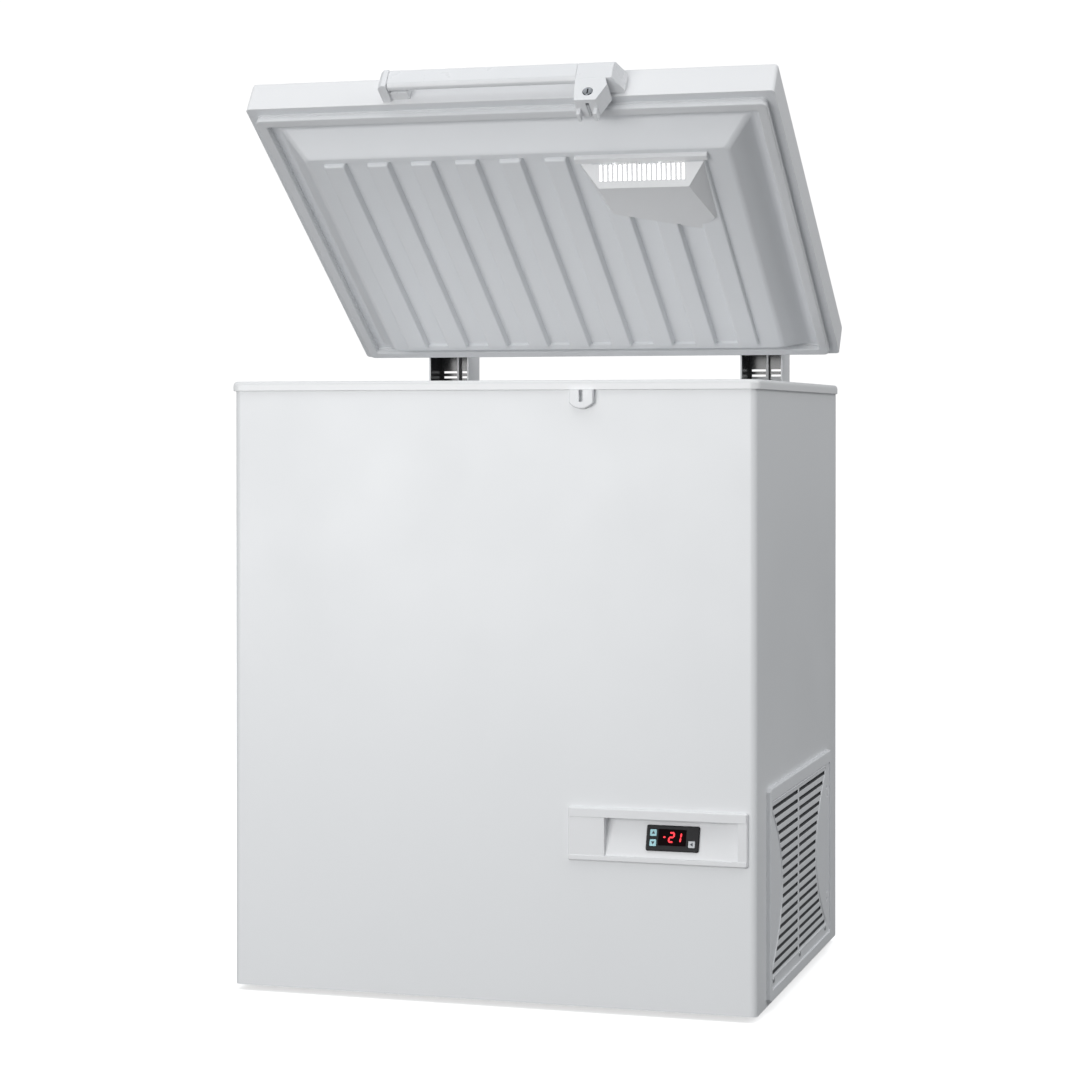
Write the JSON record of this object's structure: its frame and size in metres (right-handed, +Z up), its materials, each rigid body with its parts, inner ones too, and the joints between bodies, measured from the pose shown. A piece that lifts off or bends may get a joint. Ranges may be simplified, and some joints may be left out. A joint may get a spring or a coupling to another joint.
{
  "type": "chest ultra low temperature freezer",
  "caption": "White upright-bodied chest freezer for laboratory cold storage, lid propped open on two rear hinges.",
  "frame": {"origin": "centre of the object's box at floor level", "axes": "+Z up from the floor, +Y towards the hinges at the back, +X to the right seen from the front"},
  "size_m": [0.75, 0.6464, 1.262],
  "materials": {
    "white_steel": "satin powder coat",
    "white_plastic": "satin moulded",
    "rim_plastic": "satin moulded",
    "handle_plastic": "satin moulded",
    "grille_plastic": "satin moulded",
    "zinc_sheet": "galvanised sheet",
    "foam": "rigid foam",
    "gasket_rubber": "soft matte",
    "black_rubber": "matte",
    "stainless": "brushed",
    "spring_steel": "oiled",
    "chrome": "polished",
    "compressor_black": "gloss enamel",
    "copper": "drawn tube",
    "aluminium": "mill finish",
    "black_plastic": "satin moulded",
    "display_glass": "tinted",
    "arrow_button": "satin cap",
    "set_button_cap": "satin cap",
    "lamp_diffuser": "milky",
    "circuit_board": "solder mask"
  },
  "bodies": {
    "cabinet": {"outer_wrap": "white_steel", "back_panel": "white_steel", "rear_cover": "white_steel", "rear_cover_screws": "stainless", "base_pan": "zinc_sheet", "feet": "black_rubber", "machine_deck": "zinc_sheet", "cabinet_foam": "foam", "inner_liner": "stainless", "breaker_collar": "white_plastic", "rim_frame": "rim_plastic", "evaporator_coil": "aluminium", "temperature_probe": "stainless", "striker_plate": "handle_plastic", "control_panel": "white_plastic", "controller_housing": "black_plastic", "display_window": "display_glass", "side_grille": "grille_plastic", "grille_screws": "stainless", "compressor": "compressor_black", "compressor_grommets": "black_rubber", "terminal_cover": "black_plastic", "start_capacitor": "black_plastic", "fan_shroud": "zinc_sheet", "fan_motor": "compressor_black", "condenser_tube": "aluminium", "condenser_fins": "aluminium", "filter_drier": "copper", "discharge_pipe": "copper", "suction_pipe": "copper", "liquid_line": "copper", "capillary_tube": "copper", "mains_inlet": "black_plastic", "hinge_bracket_left": "white_steel", "hinge_bracket_right": "white_steel", "hinge_pin_left": "stainless", "hinge_pin_right": "stainless", "hinge_spring_left": "spring_steel", "hinge_spring_right": "spring_steel", "hinge_bracket_screws": "stainless"},
    "lid": {"lid_skin": "white_steel", "lid_foam": "foam", "lid_liner": "white_plastic", "lid_gasket": "gasket_rubber", "lamp_housing": "white_plastic", "lamp_diffuser": "lamp_diffuser", "lamp_board": "circuit_board", "handle_bar": "handle_plastic", "handle_left_bracket": "handle_plastic", "handle_right_block": "handle_plastic", "lock_housing": "handle_plastic", "hinge_arm_left": "zinc_sheet", "hinge_arm_right": "zinc_sheet", "hinge_arm_screws": "stainless"},
    "lock_cylinder": {"lock_cylinder": "chrome"},
    "lock_bolt": {"lock_bolt": "stainless"},
    "up_button": {"up_button": "arrow_button"},
    "down_button": {"down_button": "arrow_button"},
    "set_button": {"set_button": "set_button_cap"},
    "fan": {"fan_blades": "black_plastic"}
  },
  "joints": [
    {"name": "lid_hinge", "type": "hinge", "parent": "cabinet", "child": "lid", "pos_m": [0, 0.30975, 0.91], "axis": [-1, 0, 0], "range_deg": [-34.2, 45]},
    {"name": "lock_bolt_slide", "type": "slide", "parent": "lid", "child": "lock_bolt", "axis": [0, 0.8271, -0.5621], "range_m": [0, 0.008]},
    {"name": "lock_cylinder_turn", "type": "hinge", "parent": "lid", "child": "lock_cylinder", "pos_m": [0.131, -0.27891, 1.21091], "axis": [0, 0.8271, -0.5621], "range_deg": [0, 90]},
    {"name": "up_button_press", "type": "slide", "parent": "cabinet", "child": "up_button", "axis": [0, 0.9586, -0.2847], "range_m": [0, 0.0006], "stiffness_N_per_m": 600},
    {"name": "down_button_press", "type": "slide", "parent": "cabinet", "child": "down_button", "axis": [0, 0.9586, -0.2847], "range_m": [0, 0.0006], "stiffness_N_per_m": 600},
    {"name": "set_button_press", "type": "slide", "parent": "cabinet", "child": "set_button", "axis": [0, 0.9586, -0.2847], "range_m": [0, 0.0006], "stiffness_N_per_m": 600},
    {"name": "fan_spin", "type": "hinge", "parent": "cabinet", "child": "fan", "pos_m": [0.272, -0.02625, 0.154], "axis": [1, 0, 0], "continuous": true}
  ],
  "couplings": [
    {"joint": "lock_cylinder_turn", "follows": "lock_bolt_slide", "rad_per_m": 196.35}
  ]
}
